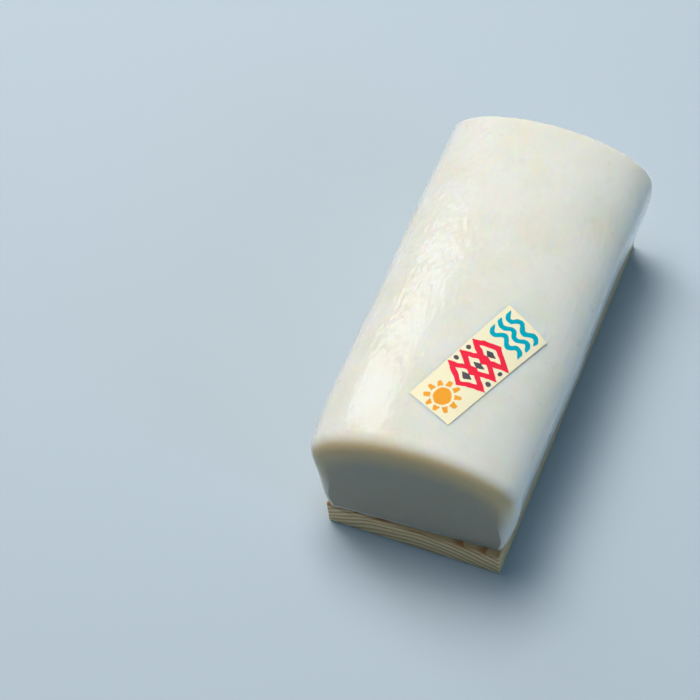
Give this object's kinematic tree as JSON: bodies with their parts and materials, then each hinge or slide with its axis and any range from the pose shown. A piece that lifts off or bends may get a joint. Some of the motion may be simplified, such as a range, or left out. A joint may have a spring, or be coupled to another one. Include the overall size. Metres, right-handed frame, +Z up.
{
  "type": "kamaboko fish cake",
  "caption": "Long domed loaf of steamed white fish paste on its flat softwood board, with a small paper label laid aslant over one shoulder.",
  "frame": {"origin": "middle of the board's underside", "axes": "+Z up, from the board to the crest of the loaf; +Y along the loaf, from its softly rounded end to its crisply cut end"},
  "size_m": [0.0766, 0.146, 0.0625],
  "materials": {
    "fish_paste": "moist, smooth and slightly see-through steamed fish paste",
    "softwood": "planed, bare",
    "label_paper": "matt, printed"
  },
  "bodies": {
    "root": {"fish_cake": "fish_paste", "board": "softwood", "label": "label_paper"}
  },
  "joints": []
}
